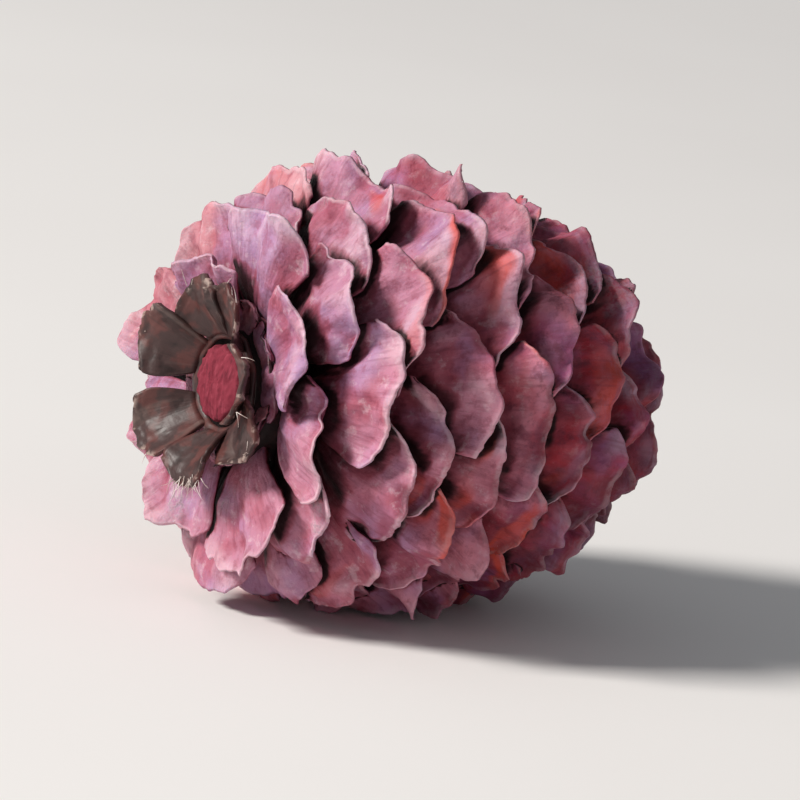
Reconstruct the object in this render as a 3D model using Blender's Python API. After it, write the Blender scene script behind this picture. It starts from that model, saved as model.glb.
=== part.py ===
"""A dried larch cone with its stalk stub and basal bracts, lying on its side.

The cone is worked out on its own axis, which runs along +X from the stalk end to the tip, and is
then laid down: an empty tilts that axis a little, stub end up, and lifts it until the lowest scale
rims meet the ground. Those rims are cut level, which gives the small flat spot that the cone lies on.
"""

import math
import random

import bmesh
import bpy
from mathutils import Vector

MM = 0.001

# How the cone lies. The origin is on the ground under the middle of the cone.
LIE_TILT = math.radians(2.2)
BASE_BACK = 15.5 * MM
AXIS_HEIGHT = 14.4 * MM
AXIS_ASIDE = -0.55 * MM

# The outline that the scale tips reach: a barrel, widest nearer the stalk end.
WIDEST_RADIUS = 15.0 * MM
WIDEST_AT = 11.6 * MM
STALK_END_REACH = 13.4 * MM
TIP_END_REACH = 21.9 * MM
STALK_END_POWER = 2.45
TIP_END_POWER = 2.15

# The woody axis inside, which every scale grows from.
CORE_START = 1.5 * MM
CORE_END = 29.2 * MM
CORE_RADIUS = 5.0 * MM
CORE_POWER = 2.4
CORE_POINT = (28.6 * MM, 0.5 * MM)
CORE_SIDES = 8
CORE_RINGS = 5

# The scales, set round the axis by the golden angle. Their roots crowd a little at the stalk end,
# and their tips, along the outline, a little towards the tip.
SCALE_COUNT = 112
GOLDEN_ANGLE = math.radians(137.508)
FIRST_ANGLE = math.radians(20.0)
FIRST_TIP_AT = 0.5 * MM
LAST_TIP_AT = 32.6 * MM
TIP_CROWDING = 0.85
OUTLINE_STEPS = 400
FIRST_ROOT_AT = 2.6 * MM
LAST_ROOT_AT = 26.4 * MM
ROOT_CROWDING = 1.1
ROOT_SUNK = 1.0 * MM

# How wide a scale spreads round the axis, half of it: broad round the bracts, wrapped over at the tip.
LOWEST_HALF_ANGLE = math.radians(30.0)
HALF_ANGLE = math.radians(22.5)
TIP_HALF_ANGLE = math.radians(75.0)
ROOT_ANGLE_SHARE = 0.6
SHOULDER_AT = 0.7

# How a scale bends: bowed out between root and tip, its edges drooping, its rim waved and flared. The
# rim is rounded at its corners, and runs back from a blunt point that sits off its middle.
LOWEST_BOW = 0.36
BOW = 0.4
LOWEST_EDGE_SAG = 0.8 * MM
EDGE_SAG = 0.2 * MM
RIM_ROUNDING = 0.07
ROUNDING_POWER = 2.8
POINT_POWER = 1.3
WAVE_DEPTH = 0.75 * MM
WAVES_ACROSS = 1.6
WAVE_GROWTH = 1.5
LOWEST_FLARE = 1.4 * MM
RIM_FLARE = 0.65 * MM
FLARE_GROWTH = 6
ROOT_THICKNESS = 0.75 * MM
RIM_THICKNESS = 0.62 * MM
THINNED_BY = 0.5
LEAST_RADIUS = 0.05 * MM

# Where along the cone, as shares of the scale count, one habit of growth has passed into the next.
LOWEST_WIDE_UNTIL = 0.08
LOWEST_SAG_UNTIL = 0.15
LOWEST_BOW_UNTIL = 0.22
WRAPPING_FROM = 0.8
CLOSING_FROM = 0.86
CLOSED_RADIUS_SHARE = 0.2
CLOSED_LEAST_RADIUS = 0.8 * MM
CLOSED_FLARE_SHARE = 0.2
CLOSED_WAVE_SHARE = 0.4

# How much one scale differs from the next.
TIP_SHIFT = 0.5 * MM
TIP_LIFT_RANGE = (-0.5 * MM, 0.35 * MM)
ANGLE_SHIFT = 0.07
BOW_SHIFT = 0.03
WIDTH_RANGE = (0.94, 1.03)
SAG_RANGE = (0.5, 1.3)
FLARE_RANGE = (0.3, 1.4)
WAVE_RANGE = (0.4, 1.3)
PITCH_RANGE = (0.7, 1.2)
SLANT_SHIFT = 0.1
POINT_RANGE = (0.0, 0.1)
POINT_SHIFT = 0.35
SEED = 31

# How finely a scale's blade is made.
ALONG_STEPS = (0.0, 0.66, 1.0)
ACROSS_STEPS = 5

# The stub of the stalk, a peg with a worn, domed end.
CLEARANCE = 0.3 * MM
STUB_RADIUS = 2.6 * MM
STUB_OUTER_END = 0.0
STUB_DOME = ((0.5 * MM, 1.0), (0.12 * MM, 0.86), (0.0, 0.55))
STUB_SIDES = 20

# The ring of brown bracts round the stub, with one wide gap on the side that the far flank shows.
BRACT_COUNT = 7
BRACT_RING_WALL = 0.8 * MM
BRACT_RING_DEPTH = 0.9 * MM
BRACT_RING_SIDES = 16
BRACT_GAP = math.radians(24.0)
BRACT_GAP_AT = math.radians(108.0)
BRACT_LENGTH = 4.2 * MM
BRACT_HALF_WIDTH = 2.6 * MM
BRACT_THICKNESS = 0.62 * MM
BRACT_ROOT_INSET = 0.3 * MM
BRACT_ROOT_SHARE = 0.5
BRACT_SHOULDER_AT = 0.8
BRACT_TIP_ROUNDING = 0.3
BRACT_CUP = 0.35 * MM
BRACT_RISE = 2.12 * MM
BRACT_ANGLE_SHIFT = 0.14
BRACT_LENGTH_RANGE = (0.86, 1.12)
BRACT_WIDTH_RANGE = (0.88, 1.12)
BRACT_RISE_RANGE = (0.75, 1.25)
BRACT_SLANT_SHIFT = 0.12
BRACT_ALONG_STEPS = (0.0, 0.55, 1.0)
BRACT_ACROSS_STEPS = 3

# The block that levels the lowest rims.
GROUND_BLOCK = 60 * MM

# The finish of each piece: its colour in linear light, and its roughness.
SCALE_COLOUR = (0.33, 0.10, 0.14)
SCALE_ROUGHNESS = 0.7
STUB_COLOUR = (0.28, 0.035, 0.06)
STUB_ROUGHNESS = 0.9
BRACT_COLOUR = (0.055, 0.035, 0.032)
BRACT_ROUGHNESS = 0.45


def clear_scene():
    for obj in list(bpy.data.objects):
        bpy.data.objects.remove(obj)


def finish_material(name, colour, roughness):
    material = bpy.data.materials.new(name)
    material.use_nodes = True
    shader = material.node_tree.nodes["Principled BSDF"]
    shader.inputs["Base Color"].default_value = (*colour, 1.0)
    shader.inputs["Roughness"].default_value = roughness
    shader.inputs["Metallic"].default_value = 0.0
    return material


def mesh_object(name, vertices, faces, material=None):
    mesh = bpy.data.meshes.new(name)
    mesh.from_pydata(vertices, [], faces)
    mesh.validate()
    if material:
        mesh.materials.append(material)
    obj = bpy.data.objects.new(name, mesh)
    bpy.context.scene.collection.objects.link(obj)
    return obj


def smoothstep(low, high, value):
    t = min(1.0, max(0.0, (value - low) / (high - low)))
    return t * t * (3.0 - 2.0 * t)


def mix(a, b, t):
    return a + (b - a) * t


def around_axis(x, radius, angle):
    """A point of the cone, from its place along the axis, its distance from it and its angle round it."""
    return Vector((x, radius * math.sin(angle), radius * math.cos(angle)))


def outline_radius(x):
    """How far from the axis the scale tips reach."""
    if x < WIDEST_AT:
        reach, power = STALK_END_REACH, STALK_END_POWER
    else:
        reach, power = TIP_END_REACH, TIP_END_POWER
    share = min(1.0, abs(x - WIDEST_AT) / reach)
    return WIDEST_RADIUS * (1.0 - share**power) ** (1.0 / power)


def core_radius(x):
    """The woody axis: full near the stalk end, drawn to a point under the tip."""
    share = min(1.0, max(0.0, (x - CORE_START) / (CORE_END - CORE_START)))
    return CORE_RADIUS * math.sqrt(1.0 - share**CORE_POWER)


def tip_places():
    """Where each scale's tip lies along the axis, spaced on the outline from the bracts on."""
    walk = [mix(FIRST_TIP_AT, LAST_TIP_AT, i / OUTLINE_STEPS) for i in range(OUTLINE_STEPS + 1)]
    gone = [0.0]
    for here, after in zip(walk, walk[1:]):
        gone.append(gone[-1] + math.hypot(after - here, outline_radius(after) - outline_radius(here)))
    places, step = [], 0
    for index in range(SCALE_COUNT):
        wanted = gone[-1] * (index / (SCALE_COUNT - 1)) ** TIP_CROWDING
        while step < OUTLINE_STEPS - 1 and gone[step + 1] < wanted:
            step += 1
        share = (wanted - gone[step]) / (gone[step + 1] - gone[step])
        places.append(mix(walk[step], walk[step + 1], share))
    return places


def scale_seats():
    """One row of measures for each scale, from the stalk end to the tip."""
    draw = random.Random(SEED)
    seats = []
    for index, place in enumerate(tip_places()):
        grown = index / (SCALE_COUNT - 1)
        closing = smoothstep(CLOSING_FROM, 1.0, grown)
        tip_x = place + draw.uniform(-TIP_SHIFT, TIP_SHIFT)
        tip_radius = outline_radius(tip_x) * mix(1.0, CLOSED_RADIUS_SHARE, closing)
        tip_radius += draw.uniform(*TIP_LIFT_RANGE)
        root_x = mix(FIRST_ROOT_AT, LAST_ROOT_AT, grown**ROOT_CROWDING)
        half_angle = mix(LOWEST_HALF_ANGLE, HALF_ANGLE, smoothstep(0.0, LOWEST_WIDE_UNTIL, grown))
        half_angle = mix(half_angle, TIP_HALF_ANGLE, smoothstep(WRAPPING_FROM, 1.0, grown))
        bow = mix(LOWEST_BOW, BOW, smoothstep(0.0, LOWEST_BOW_UNTIL, grown))
        sag = mix(LOWEST_EDGE_SAG, EDGE_SAG, smoothstep(0.0, LOWEST_SAG_UNTIL, grown))
        flare = mix(LOWEST_FLARE, RIM_FLARE, smoothstep(0.0, LOWEST_SAG_UNTIL, grown))
        flare *= mix(1.0, CLOSED_FLARE_SHARE, closing)
        wave = WAVE_DEPTH * mix(1.0, CLOSED_WAVE_SHARE, closing)
        seats.append(
            {
                "angle": FIRST_ANGLE + index * GOLDEN_ANGLE + draw.uniform(-ANGLE_SHIFT, ANGLE_SHIFT),
                "root": (root_x, core_radius(root_x) - ROOT_SUNK),
                "tip": (tip_x, max(CLOSED_LEAST_RADIUS, tip_radius)),
                "bow": bow + draw.uniform(-BOW_SHIFT, BOW_SHIFT),
                "half_angle": half_angle * draw.uniform(*WIDTH_RANGE),
                "sag": sag * draw.uniform(*SAG_RANGE),
                "flare": flare * draw.uniform(*FLARE_RANGE),
                "wave": wave * draw.uniform(*WAVE_RANGE),
                "pitch": math.pi * WAVES_ACROSS * draw.uniform(*PITCH_RANGE),
                "phase": draw.uniform(0.0, 2.0 * math.pi),
                "slant": draw.uniform(-SLANT_SHIFT, SLANT_SHIFT),
                "point": draw.uniform(*POINT_RANGE),
                "point_at": draw.uniform(-POINT_SHIFT, POINT_SHIFT),
            }
        )
    return seats


def scale_point(seat, u, v, side):
    """A point of one scale. u runs from root to rim, v from edge to edge; side is 1 outside, -1 inside."""
    rounding = RIM_ROUNDING * abs(v) ** ROUNDING_POWER
    rounding += seat["point"] * abs(v - seat["point_at"]) ** POINT_POWER
    along = u * (1.0 - rounding + seat["slant"] * v)
    (x0, r0), (x2, r2) = seat["root"], seat["tip"]
    bow = seat["bow"]
    x1 = 0.5 * (x0 + x2) - bow * (r2 - r0)
    r1 = 0.5 * (r0 + r2) + bow * (x2 - x0)
    back = 1.0 - along
    x = back * back * x0 + 2.0 * along * back * x1 + along * along * x2
    r = back * back * r0 + 2.0 * along * back * r1 + along * along * r2
    slope_x = back * (x1 - x0) + along * (x2 - x1)
    slope_r = back * (r1 - r0) + along * (r2 - r1)
    slope = math.hypot(slope_x, slope_r)

    wave = seat["wave"] * math.sin(seat["pitch"] * v + seat["phase"]) * along**WAVE_GROWTH
    lift = wave + seat["flare"] * along**FLARE_GROWTH - seat["sag"] * v * v * along
    lift += side * 0.5 * mix(ROOT_THICKNESS, RIM_THICKNESS, min(1.0, u / THINNED_BY))
    spread = mix(ROOT_ANGLE_SHARE, 1.0, math.sin(0.5 * math.pi * min(1.0, along / SHOULDER_AT)))
    radius = max(LEAST_RADIUS, r + lift * slope_x / slope)
    return around_axis(x - lift * slope_r / slope, radius, seat["angle"] + v * seat["half_angle"] * spread)


def blade(name, point_at, along_steps, across_count, material):
    """A closed thin blade. point_at(u, v, side) gives its two faces, which are split into triangles alike.

    Its root is one straight edge, from which both faces fan out to the first row of points.
    """
    columns = [2.0 * i / across_count - 1.0 for i in range(across_count + 1)]
    places = [(along_steps[0], -1.0), (along_steps[0], 1.0)]
    places += [(u, v) for u in along_steps[1:] for v in columns]
    wide, count, middle = len(columns), len(places), len(columns) // 2
    starts = range(2, count, wide)
    triangles = [(0, 1, 2 + middle)]
    triangles += [(0 if i < middle else 1, 3 + i, 2 + i) for i in range(wide - 1)]
    for start in starts[:-1]:
        for a in range(start, start + wide - 1):
            triangles += [(a, a + 1, a + wide + 1), (a, a + wide + 1, a + wide)]
    vertices = [point_at(u, v, side) for side in (1, -1) for u, v in places]
    faces = triangles + [(count + a, count + c, count + b) for a, b, c in triangles]
    outline = [0, *starts, *range(count - wide + 1, count)]
    outline += [start + wide - 1 for start in starts[-2::-1]] + [1]
    for here, after in zip(outline, outline[1:] + outline[:1]):
        faces += [(here, after, count + after), (here, count + after, count + here)]
    obj = mesh_object(name, vertices, faces, material)
    face_outwards(obj.data)
    return obj


def face_outwards(mesh):
    shape = bmesh.new()
    shape.from_mesh(mesh)
    bmesh.ops.recalc_face_normals(shape, faces=shape.faces)
    shape.to_mesh(mesh)
    shape.free()


def turned(name, profile, sides, material):
    """A solid of revolution about X from (x, radius) points. The two ends close on the axis."""
    vertices = [around_axis(x, r, 2 * math.pi * i / sides) for x, r in profile for i in range(sides)]
    faces = []
    for ring in range(len(profile) - 1):
        for i in range(sides):
            a, b = ring * sides + i, ring * sides + (i + 1) % sides
            faces.append((a, b, b + sides, a + sides))
    last = (len(profile) - 1) * sides
    faces.append(tuple(range(sides)))
    faces.append(tuple(last + i for i in reversed(range(sides))))
    obj = mesh_object(name, vertices, faces, material)
    face_outwards(obj.data)
    return obj


def keep_outer_shell(mesh):
    """Drops every shell but the largest, which fills the small hollows that crossing blades seal."""
    shape = bmesh.new()
    shape.from_mesh(mesh)
    unseen = set(shape.verts)
    shells = []
    while unseen:
        waiting = [unseen.pop()]
        shell = []
        while waiting:
            vertex = waiting.pop()
            shell.append(vertex)
            for edge in vertex.link_edges:
                neighbour = edge.other_vert(vertex)
                if neighbour in unseen:
                    unseen.remove(neighbour)
                    waiting.append(neighbour)
        shells.append(shell)
    shells.sort(key=len)
    small = [vertex for shell in shells[:-1] for vertex in shell]
    bmesh.ops.delete(shape, geom=small, context="VERTS")
    shape.to_mesh(mesh)
    shape.free()


def join_into(target, blades):
    """Fuses the blades into the target with one union, applies it, and removes the blades.

    The MANIFOLD solver takes a hundred crossing blades in a second, where EXACT takes minutes.
    """
    group = bpy.data.collections.new(target.name + "_repeats")
    bpy.context.scene.collection.children.link(group)
    for piece in blades:
        bpy.context.scene.collection.objects.unlink(piece)
        group.objects.link(piece)
    union = target.modifiers.new("join", "BOOLEAN")
    union.operation = "UNION"
    union.operand_type = "COLLECTION"
    union.collection = group
    union.solver = "MANIFOLD"
    graph = bpy.context.evaluated_depsgraph_get()
    joined = bpy.data.meshes.new_from_object(target.evaluated_get(graph))
    keep_outer_shell(joined)
    target.modifiers.clear()
    target.data = joined
    for piece in blades:
        bpy.data.objects.remove(piece)
    bpy.data.collections.remove(group)


def make_cone(material):
    """The woody axis with every scale grown from it."""
    rings = [mix(CORE_START, CORE_END, i / CORE_RINGS) for i in range(CORE_RINGS)]
    profile = [(x, core_radius(x)) for x in rings] + [CORE_POINT]
    cone = turned("cone_scales", profile, CORE_SIDES, material)
    scales = []
    for index, seat in enumerate(scale_seats()):

        def point_at(u, v, side, seat=seat):
            return scale_point(seat, u, v, side)

        scales.append(blade(f"scale_{index}", point_at, ALONG_STEPS, ACROSS_STEPS, material))
    join_into(cone, scales)
    return cone


def make_stub(material):
    """The stub where the stalk broke off: a short woody peg with a domed, worn end."""
    profile = [(CORE_START - CLEARANCE, STUB_RADIUS)]
    profile += [(STUB_OUTER_END + depth, STUB_RADIUS * share) for depth, share in STUB_DOME]
    return turned("stalk_stub", profile, STUB_SIDES, material)


def bract_seats():
    """One row of measures for each bract of the ring, which has one wide gap."""
    draw = random.Random(SEED + 1)
    turn = (2.0 * math.pi - BRACT_GAP) / BRACT_COUNT
    first = BRACT_GAP_AT + 0.5 * (BRACT_GAP + turn)
    return [
        {
            "angle": first + index * turn + draw.uniform(-BRACT_ANGLE_SHIFT, BRACT_ANGLE_SHIFT),
            "length": BRACT_LENGTH * draw.uniform(*BRACT_LENGTH_RANGE),
            "half_width": BRACT_HALF_WIDTH * draw.uniform(*BRACT_WIDTH_RANGE),
            "rise": BRACT_RISE * draw.uniform(*BRACT_RISE_RANGE),
            "slant": draw.uniform(-BRACT_SLANT_SHIFT, BRACT_SLANT_SHIFT),
        }
        for index in range(BRACT_COUNT)
    ]


def bract_point(seat, u, v, side):
    """A point of one bract, which rises from the ring and spreads flat over the lowest scales."""
    rounding = BRACT_TIP_ROUNDING * abs(v) ** ROUNDING_POWER
    reach = seat["length"] * u * (1.0 - rounding + seat["slant"] * v)
    radius = STUB_RADIUS + CLEARANCE + BRACT_ROOT_INSET + reach
    rise = seat["rise"] * math.sin(0.5 * math.pi * u) + BRACT_CUP * v * v * u
    x = CORE_START - CLEARANCE - 0.5 * BRACT_RING_DEPTH - rise - side * 0.5 * BRACT_THICKNESS
    spread = mix(BRACT_ROOT_SHARE, 1.0, math.sin(0.5 * math.pi * min(1.0, u / BRACT_SHOULDER_AT)))
    return around_axis(x, radius, seat["angle"] + v * seat["half_width"] * spread / radius)


def make_bracts(material):
    """The old bud scales left round the stalk: a ring with small leathery petals fused to it."""
    inner = STUB_RADIUS + CLEARANCE
    outer = inner + BRACT_RING_WALL
    back = CORE_START - CLEARANCE
    front = back - BRACT_RING_DEPTH
    corners = [(back, inner), (back, outer), (front, outer), (front, inner)]
    sides = BRACT_RING_SIDES
    vertices = [around_axis(x, r, 2.0 * math.pi * i / sides) for x, r in corners for i in range(sides)]
    faces = []
    for corner in range(len(corners)):
        near, far = corner * sides, (corner + 1) % len(corners) * sides
        for i in range(sides):
            after = (i + 1) % sides
            faces.append((near + i, near + after, far + after, far + i))
    ring = mesh_object("basal_bracts", vertices, faces, material)
    face_outwards(ring.data)
    petals = []
    for index, seat in enumerate(bract_seats()):

        def point_at(u, v, side, seat=seat):
            return bract_point(seat, u, v, side)

        petals.append(blade(f"bract_{index}", point_at, BRACT_ALONG_STEPS, BRACT_ACROSS_STEPS, material))
    join_into(ring, petals)
    return ring


def lay_down(pieces):
    """Parents the pieces to the axis empty, which tilts and lifts them into place."""
    axis = bpy.data.objects.new("cone_axis", None)
    bpy.context.scene.collection.objects.link(axis)
    axis.location = (
        -BASE_BACK * math.cos(LIE_TILT),
        AXIS_ASIDE,
        AXIS_HEIGHT + BASE_BACK * math.sin(LIE_TILT),
    )
    axis.rotation_euler = (0.0, LIE_TILT, 0.0)
    for piece in pieces:
        piece.parent = axis


def cut_level(cone):
    """Cuts off what would lie below the ground, which leaves the flat spot."""
    half = 0.5 * GROUND_BLOCK
    square = ((-half, -half), (half, -half), (half, half), (-half, half))
    corners = [(x, y, z) for z in (-GROUND_BLOCK, 0.0) for x, y in square]
    faces = [(0, 3, 2, 1), (4, 5, 6, 7), (0, 1, 5, 4), (1, 2, 6, 5), (2, 3, 7, 6), (3, 0, 4, 7)]
    ground = mesh_object("ground_cutter", corners, faces)
    ground.hide_render = True
    ground.display_type = "WIRE"
    cut = cone.modifiers.new("level", "BOOLEAN")
    cut.operation = "DIFFERENCE"
    cut.object = ground
    cut.solver = "MANIFOLD"


def main():
    clear_scene()
    cone = make_cone(finish_material("dyed_scale", SCALE_COLOUR, SCALE_ROUGHNESS))
    stub = make_stub(finish_material("dyed_stub", STUB_COLOUR, STUB_ROUGHNESS))
    bracts = make_bracts(finish_material("brown_bract", BRACT_COLOUR, BRACT_ROUGHNESS))
    lay_down([cone, stub, bracts])
    cut_level(cone)


main()
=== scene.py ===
"""A dried and dyed larch cone, lying on its side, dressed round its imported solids.

Lengths are in metres. The cone's pieces are measured on its own axis, which runs along +X from the
stalk end to the tip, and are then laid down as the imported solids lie.
"""

import math
import random

import bpy
from mathutils import Euler, Matrix, Vector, noise


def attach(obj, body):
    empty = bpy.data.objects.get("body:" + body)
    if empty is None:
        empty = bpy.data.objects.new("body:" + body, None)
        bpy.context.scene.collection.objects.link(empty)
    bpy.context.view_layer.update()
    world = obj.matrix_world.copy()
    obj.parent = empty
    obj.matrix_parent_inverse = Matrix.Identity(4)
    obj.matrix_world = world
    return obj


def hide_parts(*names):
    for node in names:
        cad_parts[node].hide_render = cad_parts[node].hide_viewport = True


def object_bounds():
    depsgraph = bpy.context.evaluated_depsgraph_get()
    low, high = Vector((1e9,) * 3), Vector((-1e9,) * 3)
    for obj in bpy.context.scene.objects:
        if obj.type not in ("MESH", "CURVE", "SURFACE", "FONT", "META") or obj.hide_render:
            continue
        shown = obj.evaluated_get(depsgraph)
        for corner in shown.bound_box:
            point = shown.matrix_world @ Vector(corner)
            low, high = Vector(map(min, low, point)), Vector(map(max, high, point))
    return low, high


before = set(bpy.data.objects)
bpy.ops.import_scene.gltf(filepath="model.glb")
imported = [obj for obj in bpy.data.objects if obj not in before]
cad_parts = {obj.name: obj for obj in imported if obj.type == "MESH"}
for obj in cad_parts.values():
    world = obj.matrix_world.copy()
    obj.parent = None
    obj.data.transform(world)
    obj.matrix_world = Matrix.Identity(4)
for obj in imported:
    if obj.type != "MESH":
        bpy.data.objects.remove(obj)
solid_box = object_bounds()


# The woody axis. It is the twig's own wood, grown on through the cone, and every scale sprouts from
# it. It shows only deep between the scales: a tapering spindle of rough brown wood, knobbed where the
# scale roots leave it, and soaked with the same dye. It is painted near black, as painted shade for the
# gaps it lies in.
MM = 0.001
LIE_TILT = math.radians(2.2)
BASE_BACK = 15.5 * MM
AXIS_HEIGHT = 14.4 * MM
AXIS_ASIDE = -0.55 * MM
CORE_START = 1.5 * MM
CORE_END = 29.2 * MM
CORE_RADIUS = 5.0 * MM
CORE_POWER = 2.4
CORE_KNOB = 1.6 * MM
CORE_KNOB_RISE = 0.35 * MM
CORE_STOPS_SHORT = 0.4 * MM
CORE_SIDES = 72
CORE_RINGS = 60
WOOD_LUMP = 1.2 * MM


def mix(a, b, t):
    """The number a share t of the way from a to b."""
    return a + (b - a) * t


def around_axis(x, radius, angle):
    """A point of the cone, from its place along the axis, its distance from it and its angle round it."""
    return Vector((x, radius * math.sin(angle), radius * math.cos(angle)))


def core_radius(x):
    """The woody axis: full near the stalk end, drawn to a point under the tip."""
    share = min(1.0, max(0.0, (x - CORE_START) / (CORE_END - CORE_START)))
    return CORE_RADIUS * math.sqrt(1.0 - share**CORE_POWER)


stalk_end = Vector(
    (-BASE_BACK * math.cos(LIE_TILT), AXIS_ASIDE, AXIS_HEIGHT + BASE_BACK * math.sin(LIE_TILT))
)
laid_down = Matrix.Translation(stalk_end) @ Matrix.Rotation(LIE_TILT, 4, "Y")


def linear(code):
    """A colour written as an sRGB hex code, in the linear light that shaders work in."""
    shares = [int(code[i : i + 2], 16) / 255.0 for i in (1, 3, 5)]
    return (*(s / 12.92 if s <= 0.04045 else ((s + 0.055) / 1.055) ** 2.4 for s in shares), 1.0)


def add_node(tree, kind, inputs=None, **settings):
    """Adds a node. inputs gives its sockets, by name or number, a value, a socket or a Field."""
    node = tree.nodes.new(kind)
    for name, value in settings.items():
        setattr(node, name, value)
    for name, value in (inputs or {}).items():
        if isinstance(value, Field):
            value = value.socket
        if isinstance(value, bpy.types.NodeSocket):
            tree.links.new(value, node.inputs[name])
        else:
            node.inputs[name].default_value = value
    return node


class Field:
    """A number worked out in a node tree, which plain arithmetic adds Math nodes to."""

    def __init__(self, socket):
        self.socket = socket

    def math(self, operation, *others):
        values = dict(enumerate([self, *others]))
        return Field(add_node(self.socket.id_data, "ShaderNodeMath", values, operation=operation).outputs[0])

    def __add__(self, other):
        return self.math("ADD", other)

    def __sub__(self, other):
        return self.math("SUBTRACT", other)

    def __mul__(self, other):
        return self.math("MULTIPLY", other)

    def __truediv__(self, other):
        return self.math("DIVIDE", other)

    def __pow__(self, other):
        return self.math("POWER", other)

    def __rsub__(self, other):
        return self.math("MULTIPLY_ADD", -1.0, other)

    __radd__ = __add__
    __rmul__ = __mul__

    def passing(self, low, high):
        """0 below low and 1 above high, or the other way round, with a smooth step between."""
        limits = {"Value": self, "From Min": low, "From Max": high}
        tree = self.socket.id_data
        return Field(add_node(tree, "ShaderNodeMapRange", limits, interpolation_type="SMOOTHSTEP").outputs[0])


def painted(tree, ground, coats):
    """Lays colours over a ground colour, each (how much, colour), and gives the colour socket."""
    for amount, colour in coats:
        node = add_node(tree, "ShaderNodeMix", {0: amount, 6: ground, 7: colour}, data_type="RGBA")
        ground = node.outputs[2]
    return ground


def finish(name, **constants):
    """A new material with its tree, its shader and its object coordinates; constants go on the shader."""
    material = bpy.data.materials.new(name)
    material.use_nodes = True
    tree = material.node_tree
    shader = tree.nodes["Principled BSDF"]
    for socket, value in constants.items():
        shader.inputs[socket.replace("_", " ").title().replace("Ior", "IOR")].default_value = value
    place = add_node(tree, "ShaderNodeTexCoord").outputs["Object"]
    return material, tree, shader, place


def placed(name, data):
    """Adds an object for a mesh, curve, light or camera to the scene."""
    thing = bpy.data.objects.new(name, data)
    bpy.context.scene.collection.objects.link(thing)
    return thing


def ring_mesh(name, rings, material, looped=False):
    """A closed mesh lofted through rings of points, its faces outwards.

    Its two ends close on a point each. If looped, the last ring joins the first instead.
    """
    sides = len(rings[0])
    vertices = [point for ring in rings for point in ring]
    faces = []
    for ring in range(len(rings) if looped else len(rings) - 1):
        near, far = ring * sides, (ring + 1) % len(rings) * sides
        for i in range(sides):
            after = (i + 1) % sides
            faces.append((near + i, near + after, far + after, far + i))
    if not looped:
        top = (len(rings) - 1) * sides
        vertices += [sum(rings[0], Vector()) / sides, sum(rings[-1], Vector()) / sides]
        first, last = len(vertices) - 2, len(vertices) - 1
        faces += [(first, (i + 1) % sides, i) for i in range(sides)]
        faces += [(last, top + i, top + (i + 1) % sides) for i in range(sides)]
    mesh = bpy.data.meshes.new(name)
    mesh.from_pydata([laid_down @ v for v in vertices], [], faces)
    mesh.materials.append(material)
    mesh.shade_smooth()
    return placed(name, mesh)


def dyed_wood_painted_shade():
    """Conifer wood, coarse and dark with a dull red dye, painted almost black as shade in the gaps."""
    material, tree, shader, place = finish("cone_wood_painted_shade", roughness=0.8)
    lumps = add_node(tree, "ShaderNodeTexNoise", {"Vector": place, "Scale": 1.0 / WOOD_LUMP, "Detail": 4.0})
    red = Field(lumps.outputs[0]).passing(0.45, 0.7)
    # The near-black ground is painted shade as well as dyed wood.
    colour = painted(tree, linear("#1c0b0d"), [(red, linear("#3f171b"))])
    tree.links.new(colour, shader.inputs["Base Color"])
    rise = {"Height": lumps.outputs[0], "Strength": 0.6, "Distance": 0.2 * MM}
    bump = add_node(tree, "ShaderNodeBump", rise)
    tree.links.new(bump.outputs[0], shader.inputs["Normal"])
    return material


core_rings = []
for ring in range(CORE_RINGS + 1):
    x = mix(CORE_START, CORE_END - CORE_STOPS_SHORT, ring / CORE_RINGS)
    points = []
    for turn in (2.0 * math.pi * i / CORE_SIDES for i in range(CORE_SIDES)):
        smooth = around_axis(x, core_radius(x), turn)
        points.append(smooth + around_axis(0.0, CORE_KNOB_RISE * noise.noise(smooth / CORE_KNOB), turn))
    core_rings.append(points)
woody_axis = ring_mesh("woody_axis", core_rings, dyed_wood_painted_shade())
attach(woody_axis, "root")
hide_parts("cone_scales")


# The seed scales, the bulk of the cone: 112 thin woody blades, set round the axis by the golden
# angle and closed over each other like shingles. Drying has waved, creased and torn their rims. The
# dye is pale pink at the stalk end and wine red at the tip, where painted shade darkens it further.
# Painted shade also darkens their hollows, and the gaps where scales cover each other to near black;
# painted highlights lighten their crests and rims.
WIDEST_RADIUS = 15.0 * MM
WIDEST_AT = 11.6 * MM
STALK_END_REACH = 13.4 * MM
TIP_END_REACH = 21.9 * MM
STALK_END_POWER = 2.45
TIP_END_POWER = 2.15
SCALE_COUNT = 112
GOLDEN_ANGLE = math.radians(137.508)
GOLDEN_SHARE = 0.6180339
FIRST_ANGLE = math.radians(20.0)
FIRST_TIP_AT = 0.5 * MM
LAST_TIP_AT = 32.6 * MM
TIP_CROWDING = 0.85
OUTLINE_STEPS = 400
FIRST_ROOT_AT = 2.6 * MM
LAST_ROOT_AT = 26.4 * MM
ROOT_CROWDING = 1.1
ROOT_SUNK = 1.0 * MM
LOWEST_HALF_ANGLE = math.radians(30.0)
LOWEST_WIDE_UNTIL = 0.08
HALF_ANGLE = math.radians(22.5)
TIP_HALF_ANGLE = math.radians(75.0)
TIP_WIDE_FROM = 0.8
LOWEST_BOW = 0.36
LOWEST_BOW_UNTIL = 0.22
BOW = 0.4
LOWEST_EDGE_SAG = 0.8 * MM
EDGE_SAG = 0.2 * MM
WAVE_DEPTH = 0.75 * MM
WAVES_ACROSS = 1.6
LOWEST_FLARE = 1.4 * MM
LOWEST_FLARE_UNTIL = 0.15
RIM_FLARE = 0.65 * MM
CLOSING_FROM = 0.86
CLOSED_RADIUS_SHARE = 0.2
CLOSED_LEAST_RADIUS = 0.8 * MM
CLOSED_FLARE_SHARE = 0.2
CLOSED_WAVE_SHARE = 0.4
TIP_SHIFT = 0.5 * MM
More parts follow.
